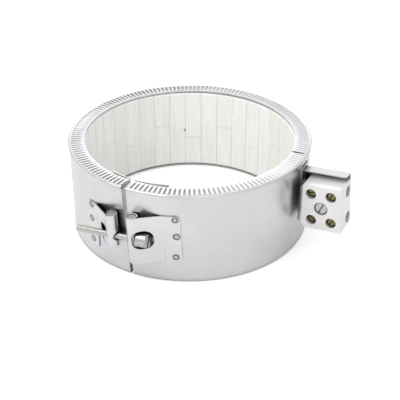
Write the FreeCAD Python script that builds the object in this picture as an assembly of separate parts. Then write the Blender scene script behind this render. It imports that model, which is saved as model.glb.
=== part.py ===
import FreeCAD, Part
import math
import os

# Ceramic band heater for a machine barrel, in millimetres, +Z up.
# The origin is the bore's centre. The gap between the band's two ends faces
# -Y, and the terminal block stands out along +X. Heights below are counted
# from the lower rim; the last lines bring every piece to the origin.

# ---- Band -------------------------------------------------------------------
bore_radius = 95.0            # heated face of the tiles
band_height = 86.0
jacket_sheet = 0.6
fit_gap = 0.3                 # between layers that only lie together
end_gap = 3.6                 # between the jacket's two ends, at half height
gap_lean = 3.3                # the ends aren't cut square: the gap leans
gap_flare = 0.55              # and each end leans this much off the middle
gap_shift = -1.2              # the gap's middle from -Y, at half height

# ---- Crimped rims -----------------------------------------------------------
rim_proud = 0.9               # how far the rolled upper rim stands out of the wall
lower_rim_proud = 0.15        # the lower one is set nearly flush
rim_width = 2.4               # height of the rolled rims
flange_thickness = 1.6        # the pleated sheet, folded over
flange_drop = 0.4             # pleats lie this far below the rim's crest
flange_clearance = 1.0        # the flange stops this far outside the bore
pleat_count = 160
pleat_depth = 1.25
pleat_mouth = 2.5             # widest part of a pleat's groove
pleat_waist = 2.1             # its width further in
pleat_waist_reach = 9.5       # where that is, from the jacket's outside
pleat_skew = 0.7              # folds lie over one way: the groove's keel, from its middle to its side
pleat_margin = 1.9            # plain rim outside the pleats
pleat_plain = 0.8             # plain strip inside the pleats
pleat_end_slope = 0.5
slit_angle = 7.5              # one radial slit in the upper flange
slit_width = 2.4

# ---- End caps ---------------------------------------------------------------
cap_sheet = 0.6
cap_stand = 1.1               # how far the inner lips rise above the rims, away from the gap
cap_foot = 0.5                # its lower edge stays this far above the ground
outer_lip_length = 12.0
inner_lip_right = 30.5        # lengths along the bore
inner_lip_left = 18.5

# ---- Ceramic tiles ----------------------------------------------------------
tile_columns = 36
tile_thickness = 7.5
tile_joint = 0.2              # between neighbouring tiles
tile_top_gap = 0.8            # under the upper flange
tile_chamfer = 1.6            # along the heated face's upper and lower edges
tail_room = 9.4               # left free at the right end, for the coil's tail
end_play = 0.9                # left free at the left end
tongue_radius = 1.4
tongue_clearance = 0.2
coil_hole_radius = 2.1
coil_hole_depth = 4.0         # from the heated face to the hole's axis
coil_hole_offset = 3.7        # each side of a column's middle
bend_play = 0.9               # the coil's bends stay this far inside a tile's ends
recess_wall = 2.0             # heated wall left in front of the bends
high_joint_rise = 4.5         # split columns are divided over half height,
low_joint_drop = 9.5          # or under it
chip_radius = 1.8             # one chipped tile edge
chip_column = 21
chip_drop = 1.0               # under half height

# ---- Heating coil, blanket and leads ----------------------------------------
coil_radius = 1.6
blanket_thickness = 6.3
lead_radius = 0.9
lead_layer_depth = 3.4        # where the leads run round, in the blanket
lead_slot = 0.4               # room round a lead in the blanket
bush_radius = 2.6
bush_hole_clearance = 0.1
bush_stand = 3.0              # how far a lead bush stands out of the jacket

# ---- Clamp ------------------------------------------------------------------
clamp_drop = 1.5              # screw's axis under half height, at -Y
clamp_slant = 6.2             # the screw lies on this slant
right_slant = 3.4             # the brackets' upper and lower edges
left_slant = 6.2
fold_lean = 3.0               # their folds lean by this much
clamp_sheet = 1.0
clamp_corner = 3.0            # rounding of the welded zones' far corners
right_top = 22.2              # brackets' edges over and under the screw's axis
right_bottom = 21.8
left_top = 20.8
left_bottom = 23.4
weld_far_right = 45.6         # far edges of the welded zones, from -Y
weld_far_left = 45.6
weld_near_right = 15.6        # near edges of the welded zones, in degrees
weld_near_left = 18.2
ramp_lap = 1.2                # the ramp starts this far inside them
screw_stand = 6.2             # screw's axis from the jacket
screw_radius = 2.95
screw_reach = 49.0            # threaded end, from -Y
thread_clearance = 0.05
screw_hole_clearance = 0.5
head_radius = 6.0
head_length = 9.8
head_slot_width = 1.7
head_slot_depth = 2.4
head_slot_turn = 62.0
seat_gap = 0.2                # axial play under a screw's head
eye_radius = 5.2              # rolled eyes, over the outside of the sheet
eye_right = 8.2               # middles of the two eyes, from -Y
eye_left = 12.2
eye_mouth = 64.0              # degrees of an eye left open, by the shell
tongue_bottom = 9.4           # the left eye ends this far under the screw
barrel_gap = 0.1              # barrels in their eyes
barrel_short = 0.6            # barrels end this far inside the eyes
window_near = 9.4             # oval window for the head, from -Y
window_far = 25.2
window_height = 17.6
rod_window_near = 15.6        # oval window where the rod leaves the left eye
rod_window_far = 26.6
rod_window_height = 19.0
eye_hole_clearance = 1.55     # round the screw, where it crosses an eye's sheet

# ---- Terminal bracket -------------------------------------------------------
terminal_tilt = 4.0           # it is welded on with its outer end higher
bracket_sheet = 1.0
bracket_back = 15.0           # back of the upright plate, along +Y
bracket_reach = 42.0          # from the jacket
bracket_below = 22.3          # its lower and upper edges, from the block's middle
bracket_above = 27.3
hood_width = 11.0             # the folded-over top
foot_front = 0.5              # front edge of the welded foot
foot_top_gap = 7.0            # the foot's top stays this far under the upper rim's crest
bracket_bend = 1.6            # inside radius of its folds
bracket_corner = 3.0          # rounding of its outer corners

# ---- Terminal block ---------------------------------------------------------
block_width = 37.6            # along the radius
block_depth = 24.0
block_height = 43.0
block_stand = 5.0             # between the block and the jacket
block_rise = 6.3              # the block's middle over half height
block_chamfer = 3.2           # along the two edges next to the jacket
block_round = 1.6
pole_spacing = 25.6
well_spacing = 18.2
well_radius = 4.8
well_depth = 7.0
middle_well_radius = 6.2
middle_well_depth = 4.0
pole_depth = 16.6             # from the block's front to the wire's axis
pole_radius = 4.6
pole_clearance = 0.15
pole_length = 30.0
wire_hole_radius = 2.5        # blind, from a pole's outer end to its middle
lead_hole_radius = 1.7        # from its inner end
entry_radius = 5.4
entry_depth = 2.4

# ---- Terminal screws and the block's own screw --------------------------------
terminal_shank_radius = 2.2
terminal_hole_clearance = 0.5
terminal_head_radius = 4.0
terminal_head_height = 3.2
terminal_slot_width = 1.2
terminal_slot_depth = 1.4
slot_turns = (20.0, 65.0, -35.0, 50.0)
wire_grip_gap = 0.3           # screw's tip to the wire it grips
screw_loosened = 1.4          # the outer screws stand open by this much, ready for a wire
lead_grip_depth = 8.0         # how far the leads reach into their poles
mount_shank_radius = 2.45
mount_hole_clearance = 0.25
mount_head_radius = 5.9
mount_head_height = 3.0
mount_slot_width = 1.5
mount_slot_depth = 1.5
mount_slot_turn = 67.0
nut_flats = 8.0
nut_height = 4.0
tip_reach = 2.0

# ---- Worked out -------------------------------------------------------------
V = FreeCAD.Vector
origin = V(0, 0, 0)
upward = V(0, 0, 1)
along_y = V(0, 1, 0)
half_height = band_height / 2
tile_outer_radius = bore_radius + tile_thickness
blanket_inner_radius = tile_outer_radius + fit_gap
blanket_outer_radius = blanket_inner_radius + blanket_thickness
jacket_inner_radius = blanket_outer_radius + fit_gap
jacket_radius = jacket_inner_radius + jacket_sheet
flange_inner_radius = bore_radius + flange_clearance
pleat_waist_radius = jacket_radius - pleat_waist_reach
lead_layer_radius = blanket_inner_radius + lead_layer_depth
clamp_height = half_height - clamp_drop
screw_layer_radius = jacket_radius + screw_stand
eye_hole_radius = screw_radius + eye_hole_clearance
block_middle_x = jacket_radius + block_stand + block_width / 2
block_middle_z = half_height + block_rise
bracket_end = jacket_radius + bracket_reach
bracket_bottom = block_middle_z - bracket_below
bracket_top = block_middle_z + bracket_above
band_start = -90.0 + math.degrees((gap_shift + end_gap / 2) / bore_radius)
band_end = 270.0 + math.degrees((gap_shift - end_gap / 2) / bore_radius)
tile_start = band_start + math.degrees((cap_sheet + tail_room) / bore_radius)
tile_end = band_end - math.degrees((cap_sheet + end_play) / bore_radius)
tile_pitch = (tile_end - tile_start) / tile_columns
flange_top = band_height - flange_drop
flange_under = flange_top - flange_thickness
tile_bottom = band_height - flange_under + fit_gap
tile_top = flange_under - tile_top_gap
coil_layer_radius = bore_radius + coil_hole_depth
column_width = math.radians(tile_pitch) * coil_layer_radius
bend_reach = max(coil_hole_offset, column_width / 2 - coil_hole_offset)
end_recess = bend_reach + coil_radius + bend_play
lip_radius = bore_radius + cap_sheet
block_front = bracket_back - bracket_sheet - block_depth
pole_y = block_front + pole_depth
lead_entry_x = block_middle_x - pole_length / 2 + lead_grip_depth
overrun = 5.0                 # how far cutting tools reach past the piece
front_reach = 40.0            # the band's front: so many degrees each side of -Y


def polar(radius, angle, height=0.0):
    turn = math.radians(angle)
    return V(radius * math.cos(turn), radius * math.sin(turn), height)


def box_between(low, high):
    size = high - low
    return Part.makeBox(size.x, size.y, size.z, low)


def revolved(corners, start, end):
    section = Part.Face(Part.makePolygon(corners + corners[:1]))
    section.rotate(origin, upward, start)
    return section.revolve(origin, upward, end - start)


def sector(inner, outer, low, high, start, end):
    corners = [V(inner, 0, low), V(outer, 0, low), V(outer, 0, high), V(inner, 0, high)]
    return revolved(corners, start, end)


def cylinder(radius, start, end):
    along = end - start
    return Part.makeCylinder(radius, along.Length, start, along)


def edges_along_y(solid):
    return [e for e in solid.Edges if abs(e.tangentAt(e.FirstParameter).y) > 0.9]


def polyhedron(corners, faces):
    sides = []
    for face in faces:
        loop = [corners[i] for i in face]
        sides.append(Part.Face(Part.makePolygon(loop + loop[:1])))
    return Part.Solid(Part.makeShell(sides))


def rounded_corner(start, corner, finish, radius):
    """Two straight runs joined by a tangent arc."""
    into = (corner - start).normalize()
    out = (finish - corner).normalize()
    turn = into.getAngle(out)
    begin = corner - into * radius * math.tan(turn / 2)
    end = corner + out * radius * math.tan(turn / 2)
    bulge = corner + (out - into).normalize() * (radius / math.cos(turn / 2) - radius)
    return [Part.makeLine(start, begin), Part.Arc(begin, bulge, end).toShape(), Part.makeLine(end, finish)]


def face_between(one_side, other_side):
    """A sheet's section, from the path of one face and the path back on the other."""
    ends = [one_side[0].Vertexes[0].Point, one_side[-1].Vertexes[-1].Point]
    back = [other_side[0].Vertexes[0].Point, other_side[-1].Vertexes[-1].Point]
    closing = [Part.makeLine(ends[1], back[0]), Part.makeLine(back[1], ends[0])]
    return Part.Face(Part.Wire(Part.__sortEdges__(one_side + other_side + closing)))


def gap_edge(sign, inset, height):
    """A point of one end's edge, moved this far into the band: +1 is the right end."""
    lean = math.tan(math.radians(gap_lean - sign * gap_flare))
    across = gap_shift + sign * (end_gap / 2 + inset) - (height - half_height) * lean
    return V(across, -(jacket_radius + overrun), height)


def front_prism(corners):
    """A tool through the wall at the band's front, from corners in the view along +Y."""
    outline = Part.Face(Part.makePolygon(corners + corners[:1]))
    return outline.extrude(V(0, jacket_radius - bore_radius + 4 * overrun, 0))


def gap_tool(inset):
    """The gap between the two ends, widened on both sides."""
    low = -overrun
    high = band_height + overrun
    left = [gap_edge(-1, inset, low), gap_edge(-1, inset, high)]
    return front_prism(left + [gap_edge(1, inset, high), gap_edge(1, inset, low)])


def end_slice(sign, depth):
    """Everything from one end's face to this depth into the band."""
    low = -overrun
    high = band_height + overrun
    face = [gap_edge(sign, 0, low), gap_edge(sign, 0, high)]
    return front_prism(face + [gap_edge(sign, depth, high), gap_edge(sign, depth, low)])


# ---- Band -------------------------------------------------------------------
def rim_edges(inside, rise):
    """Upper half of the jacket's section, with its rim standing proud by this rise."""
    roll = rim_width / 2
    middle = V(jacket_radius + rise - roll, 0, band_height - roll)
    under = math.acos((roll - rise) / roll)
    shoulder = middle + V(roll * math.cos(under), 0, -roll * math.sin(under))
    proud = middle + V(roll, 0, 0)
    crest = middle + V(0, 0, roll)
    corners = [
        V(jacket_radius - pleat_margin + 0.1, 0, flange_top),
        V(flange_inner_radius, 0, flange_top),
        V(flange_inner_radius, 0, flange_under),
        V(jacket_inner_radius, 0, flange_under),
        V(jacket_inner_radius, 0, inside),
    ]
    edges = [
        Part.makeLine(V(jacket_radius, 0, inside), shoulder),
        Part.Arc(shoulder, proud, crest).toShape(),
    ]
    before = crest
    for corner in corners:
        edges.append(Part.makeLine(before, corner))
        before = corner
    return edges


def pleat_station(radius, width, depth, lift):
    """Keel, left and right corner of a groove's V at one radius."""
    half = width / 2 * (depth + lift) / depth
    keel = V(radius, -half * pleat_skew, flange_top - depth)
    return keel, V(radius, half, flange_top + lift), V(radius, -half, flange_top + lift)


def pleat_groove(angle):
    """One fold's groove: deep and wide by the rim, running out towards the bore."""
    lift = 0.3
    outer = jacket_radius - pleat_margin
    waist_depth = pleat_depth * pleat_waist / pleat_mouth
    keel, left, right = pleat_station(outer, pleat_mouth, pleat_depth, lift)
    keel -= V(pleat_end_slope, 0, 0)
    waist = pleat_station(pleat_waist_radius, pleat_waist, waist_depth, lift)
    tip = V(flange_inner_radius + pleat_plain, 0, flange_top)
    tip = waist[0] + (tip - waist[0]) * (1 + lift / waist_depth)
    corners = [keel, left, right] + list(waist) + [tip]
    faces = (
        (0, 1, 2), (0, 4, 1), (0, 3, 4), (3, 6, 4), (0, 2, 5), (0, 5, 3), (3, 5, 6),
        (1, 4, 5, 2), (4, 6, 5),
    )
    groove = polyhedron(corners, faces)
    groove.rotate(origin, upward, angle)
    return groove


def lead_bores():
    """Where the two leads pass out through the jacket, as points on its axis side."""
    tilt = math.radians(terminal_tilt)
    bores = []
    for side in (1, -1):
        height = block_middle_z + side * pole_spacing / 2 * math.cos(tilt)
        height -= pole_length / 2 * math.sin(tilt)
        bores.append(V(0, pole_y, height))
    return bores


def jacket():
    """Outer sheet with both edges rolled and crimped inwards in pleats."""
    middle = V(0, 0, half_height)
    upper = rim_edges(middle.z, rim_proud)
    mirrored = [edge.mirror(middle, upward) for edge in rim_edges(middle.z, lower_rim_proud)]
    section = Part.Face(Part.Wire(Part.__sortEdges__(upper + mirrored)))
    body = section.revolve(origin, upward, 360.0)
    grooves = [pleat_groove((i + 0.5) * 360.0 / pleat_count) for i in range(pleat_count)]
    lower = [groove.mirror(middle, upward) for groove in grooves]
    body = body.cut(Part.makeCompound(grooves + lower))
    slit = box_between(
        V(flange_inner_radius - overrun, -slit_width / 2, flange_under - fit_gap),
        V(jacket_radius - rim_width, slit_width / 2, band_height + overrun),
    )
    slit.rotate(origin, upward, slit_angle)
    body = body.cut([slit, gap_tool(0)])
    for start in lead_bores():
        far = V(jacket_radius + overrun, start.y, start.z)
        body = body.cut(cylinder(bush_radius + bush_hole_clearance, start, far))
    return body


def front_sector(inner, outer, low, high):
    """The band's front, between two radii and two heights."""
    return sector(inner, outer, low, high, -90.0 - front_reach, -90.0 + front_reach)


def end_cap(sign):
    """Folded sheet that closes one end: a web, an outer lip and an inner lip."""
    outer = jacket_inner_radius
    web = front_sector(bore_radius, outer, tile_bottom, tile_top).common(end_slice(sign, cap_sheet))
    outer_lip = front_sector(outer - cap_sheet, outer, tile_bottom, tile_top)
    outer_lip = outer_lip.common(end_slice(sign, outer_lip_length))
    length = inner_lip_length(sign)
    outline = front_prism([
        gap_edge(sign, 0, cap_foot),
        gap_edge(sign, 0, band_height),
        gap_edge(sign, length, band_height + cap_stand),
        gap_edge(sign, length, cap_foot),
    ])
    inner_lip = front_sector(bore_radius, lip_radius, 0, band_height + cap_stand).common(outline)
    return web.fuse([outer_lip, inner_lip]).removeSplitter()


def inner_lip_length(sign):
    return inner_lip_right if sign > 0 else inner_lip_left


def cap_recesses():
    """Room for the end caps' webs and inner lips in the tiles nearest the gap."""
    room = front_sector(bore_radius - overrun, lip_radius + fit_gap, -overrun, band_height + overrun)
    lips = [room.common(end_slice(sign, inner_lip_length(sign) + fit_gap)) for sign in (1, -1)]
    return lips + [gap_tool(cap_sheet + fit_gap)]


def tile_blank(start, end):
    """A tile's full height, chamfered along the heated face's two ends."""
    inner = bore_radius + tile_chamfer
    corners = [
        V(inner, 0, tile_bottom),
        V(tile_outer_radius, 0, tile_bottom),
        V(tile_outer_radius, 0, tile_top),
        V(inner, 0, tile_top),
        V(bore_radius, 0, tile_top - tile_chamfer),
        V(bore_radius, 0, tile_bottom + tile_chamfer),
    ]
    return revolved(corners, start, end)


def tile_span(column):
    start = tile_start + column * tile_pitch
    half_joint = math.degrees(tile_joint / 2 / bore_radius)
    return start + half_joint, start + tile_pitch - half_joint


def column_middle(column):
    return tile_start + (column + 0.5) * tile_pitch


def hole_angles(column):
    offset = math.degrees(coil_hole_offset / coil_layer_radius)
    return column_middle(column) - offset, column_middle(column) + offset


def tile_column(column, recesses):
    """One column of the lining: one long tile, or two with a joint between them."""
    start, end = tile_span(column)
    tile = tile_blank(start, end)
    high = V(0, 0, tile_top - tile_bottom)
    if column < tile_columns - 1:
        foot = polar(coil_layer_radius, end, tile_bottom)
        tile = tile.fuse(cylinder(tongue_radius, foot, foot + high))
    if column > 0:
        foot = polar(coil_layer_radius, start, tile_bottom)
        tile = tile.cut(cylinder(tongue_radius + tongue_clearance, foot, foot + high))
    for angle in hole_angles(column):
        foot = polar(coil_layer_radius, angle, tile_bottom)
        tile = tile.cut(cylinder(coil_hole_radius, foot, foot + high))
    recess_start = bore_radius + recess_wall
    recess_end = tile_outer_radius + overrun
    for low in (tile_bottom - overrun, tile_top - end_recess):
        high_level = low + end_recess + overrun
        tile = tile.cut(sector(recess_start, recess_end, low, high_level, start - 2, end + 2))
    if column % 2 == 0:
        joint = half_height + (high_joint_rise if column % 4 == 2 else -low_joint_drop)
        inner = bore_radius - overrun
        tile = tile.cut(sector(inner, recess_end, joint, joint + tile_joint, start - 2, end + 2))
    if column == chip_column:
        chip_at = polar(bore_radius, start, half_height - chip_drop)
        tile = tile.cut(Part.makeSphere(chip_radius, chip_at))
    if abs(column_middle(column) - 90.0) > 180.0 - front_reach:
        tile = tile.cut(recesses)
    return tile


def insulation_blanket():
    """Ceramic fibre between the tiles and the jacket, slotted for the leads."""
    blanket = sector(blanket_inner_radius, blanket_outer_radius, tile_bottom, tile_top, 0, 360)
    lip_face = jacket_inner_radius - cap_sheet - fit_gap
    trims = [gap_tool(cap_sheet + fit_gap)]
    for sign in (1, -1):
        trim = front_sector(lip_face, jacket_radius, -overrun, band_height + overrun)
        trims.append(trim.common(end_slice(sign, outer_lip_length + fit_gap)))
    trims += [leads(lead_radius + lead_slot), lead_bushes(bush_radius + fit_gap)]
    return blanket.cut(trims)


def heating_coil():
    """The coil, as the tube it fills, up and down through every tile hole."""
    angles = [angle for column in range(tile_columns) for angle in hole_angles(column)]
    lower = tile_bottom + end_recess
    upper = tile_top - end_recess
    tail = tile_top - coil_radius - fit_gap
    edges = []
    here = polar(coil_layer_radius, angles[0], tail)
    for index, angle in enumerate(angles):
        going_down = index % 2 == 0
        level = lower if going_down else upper
        last = index == len(angles) - 1
        foot = polar(coil_layer_radius, angle, tail if last else level)
        edges.append(Part.makeLine(here, foot))
        if last:
            break
        beyond = polar(coil_layer_radius, angles[index + 1], level)
        drop = (beyond - foot).Length / 2
        bend = (foot + beyond) * 0.5 + V(0, 0, -drop if going_down else drop)
        edges.append(Part.Arc(foot, bend, beyond).toShape())
        here = beyond
    start = polar(coil_layer_radius, angles[0], tail)
    disc = Part.Face(Part.Wire(Part.makeCircle(coil_radius, start, upward)))
    return Part.Wire(edges).makePipe(disc)


def lead_run(column, hole, bore, sign, radius):
    """From one end of the coil, round in the blanket, and out at the block."""
    angle = hole_angles(column)[hole]
    level = tile_top - coil_radius - fit_gap - lead_radius
    inner = polar(coil_layer_radius + coil_radius, angle, level)
    outer = polar(lead_layer_radius, angle, level)
    drop = V(outer.x, outer.y, bore.z)
    exit_turn = math.degrees(math.asin(pole_y / lead_layer_radius))
    sweep = (exit_turn - angle) % 360.0
    if sign < 0:
        sweep -= 360.0
    disc = Part.Face(Part.Wire(Part.makeCircle(radius, drop, polar(1, angle + 90))))
    turn = disc.revolve(origin, upward * sign, abs(sweep))
    leave = polar(lead_layer_radius, exit_turn, bore.z)
    tip = V(lead_entry_x, pole_y, bore.z)
    pieces = [cylinder(radius, outer, drop), turn, cylinder(radius, leave, tip)]
    pieces += [Part.makeSphere(radius, corner) for corner in (outer, drop, leave)]
    return cylinder(radius, inner, outer).fuse(pieces).removeSplitter()


def lead_wires(radius):
    upper, lower = lead_bores()
    first = lead_run(0, 0, upper, 1, radius)
    last = lead_run(tile_columns - 1, 1, lower, -1, radius)
    return first, last


def leads(radius):
    return Part.makeCompound(list(lead_wires(radius)))


def lead_bush(bore, radius, hole):
    """Ceramic sleeve that keeps a lead off the jacket."""
    begin = V(lead_layer_radius + lead_radius + fit_gap, bore.y, bore.z)
    finish = V(jacket_radius + bush_stand, bore.y, bore.z)
    sleeve = cylinder(radius, begin, finish)
    if hole:
        sleeve = sleeve.cut(cylinder(hole, begin - V(overrun, 0, 0), finish + V(overrun, 0, 0)))
    return sleeve


def lead_bushes(radius):
    return Part.makeCompound([lead_bush(bore, radius, 0) for bore in lead_bores()])


# ---- Clamp ------------------------------------------------------------------
def turned_at_clamp(piece, angle):
    placed = piece.copy()
    placed.rotate(V(0, 0, clamp_height), along_y, -angle)
    return placed


def slanted(piece):
    """Turned as the screw lies."""
    return turned_at_clamp(piece, clamp_slant)


def leaned(piece):
    """Turned as the brackets' folds and the barrels stand."""
    return turned_at_clamp(piece, fold_lean)


def clamp_slab(bottom, top, slant):
    """All that lies between two edges, under and over the screw's axis."""
    reach = jacket_radius + overrun
    low = V(-reach, -2 * jacket_radius, clamp_height - bottom)
    return turned_at_clamp(box_between(low, V(reach, 0, clamp_height + top)), slant)


def weld_zone(sign, near, far, slab):
    """The part of a bracket that hugs the jacket and is spot-welded to it."""
    angles = sorted((-90.0 + sign * near, -90.0 + sign * front_reach))
    outer = jacket_radius + clamp_sheet
    hug = sector(jacket_radius, outer, -overrun, band_height + overrun, *angles)
    low = V(min(0, sign * far), -2 * jacket_radius, -band_height)
    reach = box_between(low, V(max(0, sign * far), 0, 2 * band_height))
    outline = slab.common(leaned(reach))
    corners = [e for e in edges_along_y(outline) if abs(e.CenterOfMass.x) > far - clamp_corner]
    return hug.common(outline.makeFillet(clamp_corner, corners))


def eye_strip(sign, middle_x, near):
    """Ramp and rolled eye as one tall strip."""
    middle = V(sign * middle_x, -screw_layer_radius, 0)
    foot = polar(jacket_radius + clamp_sheet, -90.0 + sign * (near + ramp_lap))
    away = foot - middle
    reach = math.degrees(math.acos(eye_radius / away.Length))
    touch = math.degrees(math.atan2(away.y, away.x)) - sign * reach
    roll = -sign * (360.0 - eye_mouth)
    outer = [middle + polar(eye_radius, touch + roll * part) for part in (0, 0.5, 1)]
    inner = [middle + polar(eye_radius - clamp_sheet, touch + roll * part) for part in (1, 0.5, 0)]
    foot_inside = foot + inner[2] - outer[0]
    outside = [Part.makeLine(foot, outer[0]), Part.Arc(*outer).toShape()]
    inside = [Part.Arc(*inner).toShape(), Part.makeLine(inner[2], foot_inside)]
    section = face_between(outside, inside)
    section.translate(V(0, 0, clamp_height - band_height))
    return section.extrude(V(0, 0, 2 * band_height))


def oval_tool(sign, near, far, height):
    """An oval cutter through a bracket, long side upright."""
    rounding = min(height, far - near) * 0.45
    start, end = sorted((sign * near, sign * far))
    low = V(start, -2 * jacket_radius, clamp_height - height / 2)
    block = box_between(low, V(end, -jacket_radius, clamp_height + height / 2))
    return slanted(block.makeFillet(rounding, edges_along_y(block)))


def screw_bore(radius, start_x, end_x):
    level = V(0, -screw_layer_radius, clamp_height)
    return slanted(cylinder(radius, level + V(start_x, 0, 0), level + V(end_x, 0, 0)))


def clear_of_jacket(piece):
    core = Part.makeCylinder(jacket_radius, 4 * band_height, V(0, 0, -band_height))
    return piece.cut(core)


def clamp_bracket_right():
    """Welded zone and ramp, full height, rolled into an eye round its bush."""
    strip = leaned(eye_strip(1, eye_right, weld_near_right))
    slab = clamp_slab(right_bottom, right_top, right_slant)
    strip = strip.common(slab)
    zone = weld_zone(1, weld_near_right, weld_far_right, slab)
    bracket = strip.fuse(zone)
    window = oval_tool(1, window_near, window_far, window_height)
    crossing = screw_bore(eye_hole_radius, eye_right - eye_radius - overrun, eye_right)
    return clear_of_jacket(bracket.cut([window, crossing])).removeSplitter()


def clamp_bracket_left():
    """Welded zone, and a narrower ramp rolled into an eye round the barrel nut."""
    strip = leaned(eye_strip(-1, eye_left, weld_near_left))
    strip = strip.common(clamp_slab(tongue_bottom, left_top, left_slant))
    slab = clamp_slab(left_bottom, left_top, left_slant)
    zone = weld_zone(-1, weld_near_left, weld_far_left, slab)
    bracket = strip.fuse(zone)
    window = oval_tool(-1, rod_window_near, rod_window_far, rod_window_height)
    past = eye_radius + overrun
    crossing = screw_bore(eye_hole_radius, -eye_left - past, -eye_left + past)
    return clear_of_jacket(bracket.cut([window, crossing])).removeSplitter()


def barrel(x, bottom, top, slant, hole_radius):
    """A round barrel in a rolled eye, drilled across for the screw."""
    radius = eye_radius - clamp_sheet - barrel_gap
    crossing = clamp_height + x * math.tan(math.radians(slant - fold_lean))
    foot = V(x, -screw_layer_radius, crossing - bottom + barrel_short)
    head = V(x, -screw_layer_radius, crossing + top - barrel_short)
    hole = screw_bore(hole_radius, x - eye_radius - overrun, x + eye_radius + overrun)
    return leaned(cylinder(radius, foot, head)).cut(hole)


def barrel_nut():
    """Tapped barrel in the left eye."""
    hole = screw_radius + thread_clearance
    return barrel(-eye_left, tongue_bottom, left_top, left_slant, hole)


def barrel_bush():
    """Plain barrel in the right eye, which the screw's head bears on."""
    hole = screw_radius + screw_hole_clearance
    return barrel(eye_right, right_bottom, right_top, right_slant, hole)


def clamp_screw():
    """Long slotted-head screw that draws the band's two ends together."""
    level = V(0, -screw_layer_radius, clamp_height)
    skew = math.tan(math.radians(clamp_slant - fold_lean))
    seat_x = eye_right + eye_radius - clamp_sheet - barrel_gap + head_radius * skew + seat_gap
    seat = level + V(seat_x, 0, 0)
    shank = cylinder(screw_radius, level - V(screw_reach, 0, 0), seat)
    shank = shank.makeChamfer(0.6, [e for e in shank.Edges if e.Closed and e.BoundBox.XMax < 0])
    head = cylinder(head_radius, seat, seat + V(head_length, 0, 0))
    head = head.makeFillet(0.6, [e for e in head.Edges if e.Closed])
    slot = box_between(
        V(-head_slot_depth, -2 * head_radius, -head_slot_width / 2),
        V(overrun, 2 * head_radius, head_slot_width / 2),
    )
    slot.rotate(origin, V(1, 0, 0), head_slot_turn)
    slot.translate(seat + V(head_length, 0, 0))
    return slanted(shank.fuse(head).cut(slot))


# ---- Terminal ---------------------------------------------------------------
def tilted(piece):
    """Turned about the block's own screw, as the whole terminal is welded on."""
    placed = piece.copy()
    placed.rotate(V(block_middle_x, 0, block_middle_z), along_y, -terminal_tilt)
    return placed


def terminal_bracket():
    """Foot on the jacket, upright plate behind the block, and a narrow hood."""
    start_x = jacket_radius - overrun
    outside = [
        V(start_x, bracket_back, bracket_bottom),
        V(start_x, bracket_back, bracket_top),
        V(start_x, bracket_back - hood_width, bracket_top),
    ]
    inside = [
        V(start_x, bracket_back - hood_width, bracket_top - bracket_sheet),
        V(start_x, bracket_back - bracket_sheet, bracket_top - bracket_sheet),
        V(start_x, bracket_back - bracket_sheet, bracket_bottom),
    ]
    section = face_between(
        rounded_corner(*outside, bracket_bend + bracket_sheet),
        rounded_corner(*inside, bracket_bend),
    )
    body = section.extrude(V(bracket_end - start_x, 0, 0))
    ends = [e for e in body.Edges if e.Length < 2 * bracket_sheet and e.BoundBox.XMin > bracket_end - 0.1]
    body = tilted(body.makeFillet(bracket_corner, [e for e in ends if e.Curve.TypeId == "Part::GeomLine"]))
    outer = jacket_radius + bracket_sheet
    start = math.degrees(math.asin(foot_front / outer))
    end = math.degrees(math.asin(bracket_back / outer))
    sag = (block_middle_x - jacket_radius) * math.sin(math.radians(terminal_tilt))
    low = bracket_bottom - sag
    foot = sector(jacket_radius, outer, low, band_height - foot_top_gap, start, end)
    core = Part.makeCylinder(jacket_radius, band_height)
    bracket = body.fuse(foot).cut(core).removeSplitter()
    for bore in lead_bores():
        reach = V(bracket_end, bore.y, bore.z)
        bracket = bracket.cut(cylinder(bush_radius + bush_hole_clearance, bore, reach))
    middle = V(block_middle_x, 0, block_middle_z)
    hole = mount_shank_radius + mount_hole_clearance
    return bracket.cut(cylinder(hole, middle, middle + V(0, bracket_back + overrun, 0)))


def well_places():
    """Middles of the four screw wells on the block's front, before its tilt."""
    places = []
    for up in (1, -1):
        for out in (-1, 1):
            x = block_middle_x + out * well_spacing / 2
            z = block_middle_z + up * pole_spacing / 2
            places.append(V(x, block_front, z))
    return places


def terminal_block():
    """Glazed ceramic body with two poles, four screw wells and a fixing hole."""
    half = V(block_width / 2, 0, block_height / 2)
    middle = V(block_middle_x, block_front, block_middle_z)
    body = box_between(middle - half, middle + half + V(0, block_depth, 0))
    inner_x = block_middle_x - block_width / 2
    inner = [e for e in body.Edges if abs(e.BoundBox.XMax - inner_x) < 0.01 and e.BoundBox.YLength > 1]
    body = body.makeChamfer(block_chamfer, inner)
    front_x = block_middle_x + block_width / 2
    rest = [e for e in body.Edges if abs(e.BoundBox.XMin - front_x) < 0.01]
    body = body.makeFillet(block_round, rest)
    into = V(0, 1, 0)
    for place in well_places():
        body = body.cut(cylinder(well_radius, place - into, place + into * well_depth))
        hole = terminal_shank_radius + terminal_hole_clearance
        body = body.cut(cylinder(hole, place, place + into * pole_depth))
    body = body.cut(cylinder(middle_well_radius, middle - into, middle + into * middle_well_depth))
    hole = mount_shank_radius + mount_hole_clearance
    body = body.cut(cylinder(hole, middle, middle + into * (block_depth + 1)))
    across = V(block_width / 2 + 1, 0, 0)
    lip = V(block_width / 2 - entry_depth, 0, 0)
    for side in (1, -1):
        pole = V(block_middle_x, pole_y, block_middle_z + side * pole_spacing / 2)
        bore = pole_radius + pole_clearance
        body = body.cut(cylinder(bore, pole - across, pole + across))
        body = body.cut(cylinder(entry_radius, pole + lip, pole + across))
    return tilted(body)


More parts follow.
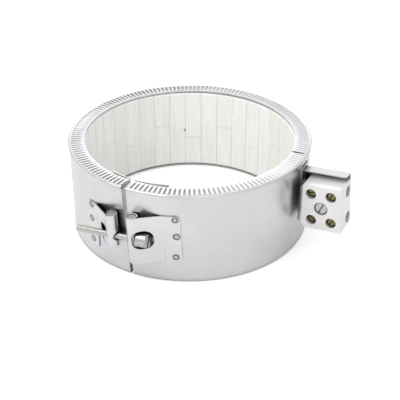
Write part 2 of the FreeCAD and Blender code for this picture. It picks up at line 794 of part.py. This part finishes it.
def terminal_connector(side):
    """Brass pole: drilled from both ends for the wires and tapped for its two screws."""
    pole = V(block_middle_x, pole_y, block_middle_z + side * pole_spacing / 2)
    half = V(pole_length / 2, 0, 0)
    bar = cylinder(pole_radius, pole - half, pole + half)
    bar = bar.makeFillet(0.4, [e for e in bar.Edges if e.Closed])
    bar = bar.cut(cylinder(wire_hole_radius, pole, pole + half * 1.1))
    bar = bar.cut(cylinder(lead_hole_radius, pole - half * 1.1, pole))
    for out in (-1, 1):
        place = pole + V(out * well_spacing / 2, 0, 0)
        hole = cylinder(terminal_shank_radius + thread_clearance, place - V(0, pole_depth, 0), place)
        bar = bar.cut(hole)
    return tilted(bar)


def slotted_screw(place, shank, length, head, height, slot_width, slot_depth, turn):
    """Pan-head screw along +Y; place is under the middle of its head."""
    into = V(0, 1, 0)
    body = cylinder(head, place - into * height, place)
    rim = [e for e in body.Edges if e.Closed and e.BoundBox.YMax < place.y - height / 2]
    body = body.makeFillet(height * 0.3, rim)
    body = body.fuse(cylinder(shank, place, place + into * length))
    slot = box_between(
        V(-2 * head, -height - 1, -slot_width / 2),
        V(2 * head, slot_depth - height, slot_width / 2),
    )
    slot.rotate(origin, along_y, -turn)
    slot.translate(place)
    return body.cut(slot)


def terminal_screw(number):
    place = well_places()[number] + V(0, well_depth - seat_gap, 0)
    length = pole_y - lead_radius - wire_grip_gap - place.y
    if number % 2 == 1:
        place -= V(0, screw_loosened, 0)
    screw = slotted_screw(
        place, terminal_shank_radius, length, terminal_head_radius, terminal_head_height,
        terminal_slot_width, terminal_slot_depth, slot_turns[number],
    )
    return tilted(screw)


def mount_place():
    return V(block_middle_x, block_front + middle_well_depth, block_middle_z)


def block_screw():
    place = mount_place()
    length = bracket_back + nut_height + tip_reach - place.y
    return slotted_screw(
        place, mount_shank_radius, length, mount_head_radius, mount_head_height,
        mount_slot_width, mount_slot_depth, mount_slot_turn,
    )


def block_nut():
    begin = V(block_middle_x, bracket_back, block_middle_z)
    corner = nut_flats / math.sqrt(3)
    ring = [V(corner * math.cos(math.radians(60 * i)), 0, corner * math.sin(math.radians(60 * i)))
            for i in range(6)]
    hexagon = Part.Face(Part.makePolygon([begin + point for point in ring + ring[:1]]))
    nut = hexagon.extrude(V(0, nut_height, 0))
    hole = mount_shank_radius + thread_clearance
    return nut.cut(cylinder(hole, begin, begin + V(0, nut_height, 0)))


# ---- Every piece by name ----------------------------------------------------
def pieces():
    upper_lead, lower_lead = lead_wires(lead_radius)
    upper_bore, lower_bore = lead_bores()
    sleeve_hole = lead_radius + bush_hole_clearance
    named = {
        "jacket": jacket(),
        "end_cap_right": end_cap(1),
        "end_cap_left": end_cap(-1),
        "insulation_blanket": insulation_blanket(),
        "heating_coil": heating_coil(),
        "lead_wire_upper": upper_lead,
        "lead_wire_lower": lower_lead,
        "lead_bush_upper": lead_bush(upper_bore, bush_radius, sleeve_hole),
        "lead_bush_lower": lead_bush(lower_bore, bush_radius, sleeve_hole),
        "clamp_bracket_right": clamp_bracket_right(),
        "clamp_bracket_left": clamp_bracket_left(),
        "barrel_nut": barrel_nut(),
        "clamp_screw": clamp_screw(),
        "barrel_bush": barrel_bush(),
        "terminal_bracket": terminal_bracket(),
        "terminal_block": terminal_block(),
        "connector_upper": terminal_connector(1),
        "connector_lower": terminal_connector(-1),
        "block_screw": block_screw(),
        "block_nut": block_nut(),
    }
    for number in range(4):
        named["terminal_screw_%d" % (number + 1)] = terminal_screw(number)
    recesses = cap_recesses()
    for column in range(tile_columns):
        named["tile_column_%02d" % (column + 1)] = tile_column(column, recesses)
    return named


os.makedirs("parts", exist_ok=True)
for name, shape in pieces().items():
    print(name, len(shape.Solids), "solids, valid", shape.isValid(), "volume", round(shape.Volume, 1))
    shape.translate(V(0, 0, -half_height))
    shape.exportStep("parts/%s.step" % name)
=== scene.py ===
import bpy, math, random
from mathutils import Matrix, Vector


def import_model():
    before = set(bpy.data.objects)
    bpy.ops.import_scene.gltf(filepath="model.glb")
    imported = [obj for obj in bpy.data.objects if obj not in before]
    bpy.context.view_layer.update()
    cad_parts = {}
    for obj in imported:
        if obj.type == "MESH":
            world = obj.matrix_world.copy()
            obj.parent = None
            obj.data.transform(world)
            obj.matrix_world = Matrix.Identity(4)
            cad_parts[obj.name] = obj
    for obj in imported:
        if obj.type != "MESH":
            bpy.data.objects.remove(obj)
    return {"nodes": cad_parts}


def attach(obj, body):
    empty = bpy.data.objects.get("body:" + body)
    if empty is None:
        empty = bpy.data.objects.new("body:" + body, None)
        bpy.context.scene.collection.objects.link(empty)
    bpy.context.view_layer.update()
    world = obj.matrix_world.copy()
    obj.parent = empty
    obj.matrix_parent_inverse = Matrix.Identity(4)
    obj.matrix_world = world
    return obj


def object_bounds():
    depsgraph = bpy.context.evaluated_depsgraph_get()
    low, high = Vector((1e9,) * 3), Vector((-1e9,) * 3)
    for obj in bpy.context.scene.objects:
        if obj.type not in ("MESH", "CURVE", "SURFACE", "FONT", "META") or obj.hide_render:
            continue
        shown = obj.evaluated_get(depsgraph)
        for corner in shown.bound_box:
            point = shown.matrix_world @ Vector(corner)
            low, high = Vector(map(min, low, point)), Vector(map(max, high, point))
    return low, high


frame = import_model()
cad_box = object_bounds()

# The finished heater in metres. The bore is centred on the origin, the gap and
# clamp face -Y, and the terminal stands out along +X.

random.seed(11)

# Tones, as base colours of the finishes
jacket_tone = (0.71, 0.71, 0.73)
clamp_tone = (0.74, 0.74, 0.76)
end_cap_tone = (0.80, 0.80, 0.81)
terminal_tone = (0.60, 0.60, 0.61)
painted_fold_shade = (0.06, 0.06, 0.065)        # painted shade deep in the pleats and folds
grain_dark = (0.55, 0.55, 0.57)
heat_tint = (0.42, 0.37, 0.31)           # halo round a spot weld
zinc_tone = (0.56, 0.55, 0.52)
brass_tone = (0.30, 0.275, 0.135)
pole_tone = (0.09, 0.08, 0.05)
plated_tone = (0.60, 0.595, 0.63)
nickel_tone = (0.60, 0.57, 0.52)
coil_tone = (0.40, 0.38, 0.36)
tile_tones = (
    (0.93, 0.935, 0.905),
    (0.94, 0.94, 0.935),
    (0.935, 0.935, 0.925),
    (0.91, 0.92, 0.875),
)
tile_cloud = ((0.93, 0.94, 0.90), (1, 1, 0.99))
tile_speck = (0.62, 0.60, 0.52)
# painted shade for the tiles' corners and joints
tile_painted_shade = (0.35, 0.34, 0.31)
glaze_thin = (0.77, 0.76, 0.745)
glaze_full = (0.84, 0.835, 0.825)
glaze_pit = (0.45, 0.40, 0.32)
# painted shade for the glaze's corners and recesses
glaze_painted_shade = (0.14, 0.13, 0.11)
block_side_painted_shade = (0.16, 0.15, 0.145)   # painted shade on the block's side next to the jacket
fibre_tones = ((0.66, 0.64, 0.58), (0.90, 0.89, 0.85))
weld_tones = ((0.10, 0.08, 0.065), (0.19, 0.165, 0.145), (0.33, 0.31, 0.295))
floor_tone = (0.80, 0.80, 0.80, 1)
white = (1, 1, 1)

# Places on the heater
pleat_foot, pleat_crest = 0.0400, 0.0415      # heights over which the pleats rise
block_side_start, block_side_end = 0.1152, 0.1168
column_count = 36
block_screw_count = 4

# Spot welds: angle from -Y in degrees, height and radius
clamp_face = 0.1109
weld_depth = 0.0004
weld_rim_width = 0.16                         # of the weld's radius
weld_rim_rise = 0.00012
weld_dish = ((0.22, 0.00022), (0.3, 0.00008))  # part of the radius, drop
clamp_welds = {
    "weld_right_upper": (21.7, 0.0198, 0.0028),
    "weld_right_middle": (22.3, 0.0034, 0.0031),
    "weld_right_lower": (21.9, -0.0172, 0.0029),
    "weld_left_upper": (-22.2, 0.0114, 0.0028),
    "weld_left_middle": (-22.4, -0.0025, 0.0029),
    "weld_left_lower": (-22.1, -0.0235, 0.0028),
}

# Studio: what the floor gives back to the camera and to bright metal, the world's
# light, and each lamp's place, size and power
floor_height = cad_box[0][2] - 0.0002
floor_size = 6.0
floor_lift = 0.42
floor_mirrored = 0.12
world_light = 0.75
softboxes = {
    "key": ((-0.5, -0.7, 1.3), (0.9, 0.9), 8.5),
    "fill": ((0.8, -0.9, 0.5), (0.7, 0.7), 2.0),
    "back": ((-0.47, 0.89, 1.04), (1.3, 1.0), 4.2),
}
lens = 81.45
sensor_width = 36.0
camera_place = (0.3506, -0.6496, 0.4216)
camera_target = (0, 0, 0.0001)
camera_turned_right = 0.6055
camera_turned_down = 1.610


# ---- Helpers ------------------------------------------------------------------
def deselect():
    bpy.ops.object.select_all(action="DESELECT")


def soften(piece, angle):
    """Smooth faces, with edges sharper than this angle kept."""
    deselect()
    piece.select_set(True)
    bpy.context.view_layer.objects.active = piece
    bpy.ops.object.shade_smooth_by_angle(angle=math.radians(angle))


def scaled(tone, factor):
    """A tone made lighter or darker, and never past white."""
    return tuple(min(1.0, part * factor) for part in tone)


# ---- Finishes -------------------------------------------------------------------
class Finish:
    """A procedural material under construction."""

    def __init__(self, name):
        self.material = bpy.data.materials.new(name)
        self.material.use_nodes = True
        self.nodes = self.material.node_tree.nodes
        self.links = self.material.node_tree.links
        self.shader = self.nodes["Principled BSDF"]
        self.place = self.nodes.new("ShaderNodeTexCoord").outputs["Object"]

    def noise(self, scale, detail, roughness, stretch=(1, 1, 1)):
        mapping = self.nodes.new("ShaderNodeMapping")
        mapping.inputs["Scale"].default_value = stretch
        self.links.new(self.place, mapping.inputs["Vector"])
        node = self.nodes.new("ShaderNodeTexNoise")
        node.inputs["Scale"].default_value = scale
        node.inputs["Detail"].default_value = detail
        node.inputs["Roughness"].default_value = roughness
        self.links.new(mapping.outputs["Vector"], node.inputs["Vector"])
        return node.outputs["Fac"]

    def ramp(self, value, stops):
        node = self.nodes.new("ShaderNodeValToRGB")
        elements = node.color_ramp.elements
        while len(elements) < len(stops):
            elements.new(0.5)
        for element, (position, tone) in zip(elements, stops):
            element.position = position
            element.color = tuple(tone) + (1.0,)
        self.links.new(value, node.inputs["Fac"])
        return node.outputs["Color"]

    def spread(self, value, low, high, start=0.0, end=1.0):
        """A value brought from start..end to low..high."""
        node = self.nodes.new("ShaderNodeMapRange")
        node.inputs["From Min"].default_value = start
        node.inputs["From Max"].default_value = end
        node.inputs["To Min"].default_value = low
        node.inputs["To Max"].default_value = high
        self.links.new(value, node.inputs["Value"])
        return node.outputs["Result"]

    def mix(self, factor, one, other, how="MIX"):
        node = self.nodes.new("ShaderNodeMix")
        node.data_type = "RGBA"
        node.blend_type = how
        sockets = (node.inputs["Factor"], node.inputs[6], node.inputs[7])
        for socket, given in zip(sockets, (factor, one, other)):
            if hasattr(given, "links"):
                self.links.new(given, socket)
            elif isinstance(given, (int, float)):
                socket.default_value = given
            else:
                socket.default_value = tuple(given) + (1.0,)
        return node.outputs[2]

    def math(self, how, one, other):
        node = self.nodes.new("ShaderNodeMath")
        node.operation = how
        for socket, given in zip(node.inputs, (one, other)):
            if hasattr(given, "links"):
                self.links.new(given, socket)
            else:
                socket.default_value = given
        return node.outputs[0]

    def along(self, axis):
        """How far along X, Y or Z the surface lies."""
        node = self.nodes.new("ShaderNodeSeparateXYZ")
        self.links.new(self.place, node.inputs[0])
        return node.outputs[axis]

    def painted_shade_mask(self, distance, low, high):
        """1 in a corner, falling to 0 where the surface lies open: the mask for painted shade.
        """
        node = self.nodes.new("ShaderNodeAmbientOcclusion")
        node.samples = 8
        node.inputs["Distance"].default_value = distance
        return self.spread(node.outputs["AO"], 1.0, 0.0, low, high)

    def near(self, places, inner, outer):
        """1 close to any of these places, falling to 0 at the outer distance."""
        nearest = 1.0
        for place in places:
            node = self.nodes.new("ShaderNodeVectorMath")
            node.operation = "DISTANCE"
            self.links.new(self.place, node.inputs[0])
            node.inputs[1].default_value = place
            nearest = self.math("MINIMUM", node.outputs["Value"], nearest)
        return self.spread(nearest, 1.0, 0.0, inner, outer)

    def colour(self, output):
        self.links.new(output, self.shader.inputs["Base Color"])

    def rough(self, output):
        self.links.new(output, self.shader.inputs["Roughness"])

    def bump(self, height, strength, distance):
        node = self.nodes.new("ShaderNodeBump")
        node.inputs["Strength"].default_value = strength
        node.inputs["Distance"].default_value = distance
        self.links.new(height, node.inputs["Height"])
        self.links.new(node.outputs["Normal"], self.shader.inputs["Normal"])

    def fixed(self, **values):
        """Constants set on the shader's own sockets."""
        for name, value in values.items():
            self.shader.inputs[name.replace("_", " ")].default_value = value
        return self


def sheet_finish(name, tone, fold_reach, fold_open, grain=1.0, heated=(), rim_shade_share=0.0):
    """Bright rolled sheet: fine grain round the band, faint handling blotches, painted shade in
    folds and corners.
    """
    f = Finish(name)
    grain_lines = f.noise(60.0, 3.0, 0.6, (1, 1, 22))
    blotches = f.noise(26.0, 5.0, 0.6)
    fine = f.noise(900.0, 2.0, 0.5)
    sheet = f.ramp(blotches, [(0.3, scaled(tone, 0.93)), (0.7, scaled(tone, 1.04))])
    grain_tone = f.ramp(grain_lines, [(0.35, grain_dark), (0.65, white)])
    sheet = f.mix(0.10 * grain, sheet, grain_tone, "MULTIPLY")
    if heated:
        broken = f.spread(fine, 0.35, 0.75, 0.3, 0.7)
        halo = f.math("MULTIPLY", f.near(heated, 0.0018, 0.0048), broken)
        sheet = f.mix(halo, sheet, heat_tint)
    # Painted shade: the colour darkens towards a near-black tone in folds and corners. Where a
    # rim share is given, only that share of it is kept above the pleat crest, easing in from the
    # pleat foot.
    shade = f.painted_shade_mask(fold_reach, 0.25, fold_open)
    if rim_shade_share:
        lighter = f.spread(f.along("Z"), 1.0, rim_shade_share, pleat_foot, pleat_crest)
        shade = f.math("MULTIPLY", shade, lighter)
    f.colour(f.mix(shade, sheet, painted_fold_shade))
    f.rough(f.spread(f.mix(0.4, blotches, grain_lines), 0.24, 0.36, 0.3, 0.7))
    f.bump(f.mix(0.5, grain_lines, fine), 0.10, 0.0001)
    return f.fixed(Metallic=1.0).material


def tile_finish(name, tone):
    """Unglazed pressed ceramic: matt, faint streaks up the tile, small specks, painted shade in
    corners.
    """
    f = Finish(name)
    streaks = f.noise(50.0, 4.0, 0.6, (6, 6, 0.5))
    cloud = f.noise(30.0, 4.0, 0.6)
    specks = f.noise(700.0, 1.0, 0.5)
    body = f.ramp(streaks, [(0.32, scaled(tone, 0.95)), (0.62, scaled(tone, 1.03))])
    cloud_tone = f.ramp(cloud, [(0.3, tile_cloud[0]), (0.7, tile_cloud[1])])
    body = f.mix(0.35, body, cloud_tone, "MULTIPLY")
    body = f.mix(f.spread(specks, 0.0, 0.35, 0.66, 0.75), body, tile_speck)
    # Painted shade: the tile's colour darkens in corners and in the narrow joints between tiles.
    f.colour(f.mix(f.painted_shade_mask(0.003, 0.1, 0.8), body, tile_painted_shade))
    f.rough(f.spread(cloud, 0.72, 0.88))
    f.bump(f.noise(1100.0, 3.0, 0.6), 0.25, 0.00008)
    return f.fixed(Metallic=0.0).material


def plain_metal(name, tone, smoothest, roughest):
    """Turned or drawn hardware: small changes of tone, fine scratches, painted shade in corners.
    """
    f = Finish(name)
    wear = f.noise(400.0, 4.0, 0.6)
    scratches = f.noise(160.0, 3.0, 0.6, (1, 14, 14))
    worn = f.mix(0.5, wear, scratches)
    metal = f.ramp(worn, [(0.3, scaled(tone, 0.86)), (0.7, scaled(tone, 1.06))])
    # Painted shade: in corners the metal darkens towards a dark copy of its own tone.
    f.colour(f.mix(f.painted_shade_mask(0.004, 0.2, 0.95), metal, scaled(tone, 0.12)))
    f.rough(f.spread(wear, smoothest, roughest, 0.3, 0.7))
    f.bump(scratches, 0.12, 0.00006)
    return f.fixed(Metallic=1.0).material


def glazed_finish():
    """Glazed white ceramic: glossy, barely uneven, warm where the glaze is thin, with painted
    shade in corners and on the side next to the jacket.
    """
    f = Finish("glazed_ceramic")
    cloud = f.noise(60.0, 3.0, 0.5)
    pits = f.noise(600.0, 2.0, 0.5)
    body = f.ramp(cloud, [(0.3, glaze_thin), (0.7, glaze_full)])
    body = f.mix(f.spread(pits, 0.0, 0.5, 0.68, 0.78), body, glaze_pit)
    # Painted shade: the glaze darkens in corners and recesses.
    body = f.mix(f.painted_shade_mask(0.006, 0.2, 0.9), body, glaze_painted_shade)
    # Painted shade: the block's side next to the jacket, placed by its distance along X, darkens
    # towards a near-black tone.
    side_shade_mask = f.spread(f.along("X"), 1.0, 0.0, block_side_start, block_side_end)
    f.colour(f.mix(side_shade_mask, body, block_side_painted_shade))
    f.rough(f.spread(cloud, 0.16, 0.30))
    f.bump(cloud, 0.2, 0.0003)
    return f.fixed(Metallic=0.0, Coat_Weight=0.6, Coat_Roughness=0.08).material


def fibre_finish():
    """Ceramic fibre: matt strands lying along the blanket."""
    f = Finish("ceramic_fibre")
    strands = f.noise(500.0, 6.0, 0.7, (1, 1, 0.25))
    f.colour(f.ramp(strands, [(0.3, fibre_tones[0]), (0.7, fibre_tones[1])]))
    f.rough(f.spread(strands, 0.85, 0.98))
    f.bump(strands, 0.8, 0.0006)
    return f.fixed(Metallic=0.0).material


def weld_finish():
    """Heat-tinted steel in a spot weld's dish."""
    f = Finish("weld_tint")
    cloud = f.noise(420.0, 4.0, 0.65)
    f.colour(f.ramp(cloud, list(zip((0.32, 0.5, 0.68), weld_tones))))
    f.rough(f.spread(cloud, 0.34, 0.52))
    f.bump(cloud, 0.3, 0.0001)
    return f.fixed(Metallic=0.85).material


# ---- Spot welds -------------------------------------------------------------------
def on_band(radius, angle, height):
    """A point at this angle from -Y, counter-clockwise seen from above."""
    turn = math.radians(angle - 90.0)
    return Vector((radius * math.cos(turn), radius * math.sin(turn), height))


def outer_face(piece, out):
    """Select only the round face that looks out, and stay in edit mode."""
    bpy.ops.object.mode_set(mode="EDIT")
    bpy.ops.mesh.select_mode(type="FACE")
    bpy.ops.mesh.select_all(action="DESELECT")
    bpy.ops.object.mode_set(mode="OBJECT")
    for face in piece.data.polygons:
        face.select = face.normal.dot(out) > 0.9 and len(face.vertices) > 4
    bpy.ops.object.mode_set(mode="EDIT")


def spot_weld(name, angle, height, size, material):
    """The electrode's round dish in the sheet, with its low raised rim."""
    centre = on_band(clamp_face, angle, height)
    out = Vector((centre.x, centre.y, 0)).normalized()
    deselect()
    bpy.ops.mesh.primitive_cylinder_add(
        vertices=28, radius=size, depth=weld_depth, location=centre,
        rotation=(0, math.pi / 2, math.radians(angle - 90.0)))
    mark = bpy.context.object
    mark.name = name
    bpy.ops.object.transform_apply(location=True, rotation=True, scale=True)
    outer_face(mark, out)
    bpy.ops.mesh.inset(thickness=weld_rim_width * size)
    bpy.ops.transform.translate(value=out * weld_rim_rise)
    for step, drop in weld_dish:
        bpy.ops.mesh.inset(thickness=step * size)
        bpy.ops.transform.translate(value=-out * drop)
    bpy.ops.object.mode_set(mode="OBJECT")
    soften(mark, 50.0)
    mark.data.materials.append(material)
    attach(mark, "band")


def spot_welds():
    tint = weld_finish()
    for name, (angle, height, size) in clamp_welds.items():
        spot_weld(name, angle, height, size, tint)


# ---- Giving every piece its finish ------------------------------------------------
def dress(node, material):
    piece = frame["nodes"][node]
    piece.data.materials.clear()
    piece.data.materials.append(material)


def dress_sheets():
    jacket = sheet_finish("bright_jacket_sheet", jacket_tone, 0.007, 0.8, rim_shade_share=0.42)
    heated = [on_band(clamp_face, angle, height) for angle, height, size in clamp_welds.values()]
    clamp_sheet = sheet_finish("clamp_sheet", clamp_tone, 0.004, 0.8, 0.6, heated)
    caps = sheet_finish("end_cap_sheet", end_cap_tone, 0.0012, 0.6, 0.4)
    dress("jacket", jacket)
    for side in ("right", "left"):
        dress("end_cap_" + side, caps)
        dress("clamp_bracket_" + side, clamp_sheet)
    dress("terminal_bracket", sheet_finish("terminal_sheet", terminal_tone, 0.005, 0.85, 0.6))


def dress_lining():
    tiles = [tile_finish("pressed_tile_" + str(k), tone) for k, tone in enumerate(tile_tones)]
    for column in range(column_count):
        dress("tile_column_%02d" % (column + 1), random.choice(tiles))
    for level in ("upper", "lower"):
        dress("lead_bush_" + level, tiles[0])
    dress("insulation_blanket", fibre_finish())
    dress("heating_coil", plain_metal("resistance_wire", coil_tone, 0.4, 0.6))


def dress_hardware():
    zinc = plain_metal("zinc_plate", zinc_tone, 0.22, 0.38)
    for node in ("barrel_nut", "barrel_bush", "clamp_screw"):
        dress(node, zinc)
    dress("terminal_block", glazed_finish())
    brass = plain_metal("dull_brass", brass_tone, 0.30, 0.48)
    for number in range(block_screw_count):
        dress("terminal_screw_%d" % (number + 1), brass)
    chrome = plain_metal("bright_plate", plated_tone, 0.12, 0.24)
    dress("block_screw", chrome)
    dress("block_nut", chrome)
    pole = plain_metal("pole_brass", pole_tone, 0.35, 0.55)
    for level in ("upper", "lower"):
        dress("connector_" + level, pole)
        dress("lead_wire_" + level, plain_metal("nickel_wire_" + level, nickel_tone, 0.3, 0.45))


# ---- Studio -----------------------------------------------------------------------
def floor():
    """A pale floor that keeps the heater's shadow."""
    deselect()
    bpy.ops.mesh.primitive_plane_add(size=floor_size, location=(0, 0, floor_height))
    sheet = bpy.context.object
    sheet.name = "floor"
    f = Finish("pale_floor")
    f.fixed(Base_Color=floor_tone, Roughness=0.9)
    path = f.nodes.new("ShaderNodeLightPath")
    lift = f.math("MULTIPLY", path.outputs["Is Camera Ray"], floor_lift)
    mirrored = f.math("MULTIPLY", path.outputs["Is Glossy Ray"], floor_mirrored)
    glow = f.nodes.new("ShaderNodeEmission")
    f.links.new(f.math("ADD", lift, mirrored), glow.inputs["Strength"])
    both = f.nodes.new("ShaderNodeAddShader")
    f.links.new(f.shader.outputs["BSDF"], both.inputs[0])
    f.links.new(glow.outputs["Emission"], both.inputs[1])
    f.links.new(both.outputs["Shader"], f.nodes["Material Output"].inputs["Surface"])
    sheet.data.materials.append(f.material)


def world():
    """Even light all round, seen as plain white."""
    scene_world = bpy.data.worlds.new("studio")
    bpy.context.scene.world = scene_world
    scene_world.use_nodes = True
    nodes = scene_world.node_tree.nodes
    links = scene_world.node_tree.links
    background = nodes["Background"]
    path = nodes.new("ShaderNodeLightPath")
    strength = nodes.new("ShaderNodeMapRange")
    strength.inputs["To Min"].default_value = world_light
    strength.inputs["To Max"].default_value = 1.0
    links.new(path.outputs["Is Camera Ray"], strength.inputs["Value"])
    links.new(strength.outputs["Result"], background.inputs["Strength"])
    background.inputs["Color"].default_value = white + (1,)


def softbox(name, place, size, power):
    """A lamp with a rectangular front, turned towards the bore's centre."""
    light = bpy.data.lights.new(name, "AREA")
    light.shape = "RECTANGLE"
    light.size, light.size_y = size
    light.energy = power
    lamp = bpy.data.objects.new(name, light)
    lamp.location = place
    lamp.rotation_euler = (-Vector(place)).to_track_quat("-Z", "Y").to_euler()
    bpy.context.scene.collection.objects.link(lamp)


def view_axes(towards):
    """The camera's right and up for a way of looking, with the horizon level."""
    right = towards.cross(Vector((0, 0, 1))).normalized()
    return right, right.cross(towards)


def camera():
    data = bpy.data.cameras.new("camera")
    data.lens = lens
    data.sensor_width = sensor_width
    eye = bpy.data.objects.new("camera", data)
    eye.location = camera_place
    towards = (Vector(camera_target) - eye.location).normalized()
    right, above = view_axes(towards)
    towards += right * math.tan(math.radians(camera_turned_right))
    towards -= above * math.tan(math.radians(camera_turned_down))
    towards.normalize()
    right, above = view_axes(towards)
    turn = Matrix((right, above, -towards)).transposed()
    eye.rotation_euler = turn.to_euler()
    bpy.context.scene.collection.objects.link(eye)
    bpy.context.scene.camera = eye


dress_sheets()
dress_lining()
dress_hardware()
spot_welds()
floor()
world()
for name, (place, size, power) in softboxes.items():
    softbox(name, place, size, power)
camera()
bpy.context.scene.view_settings.view_transform = "Standard"
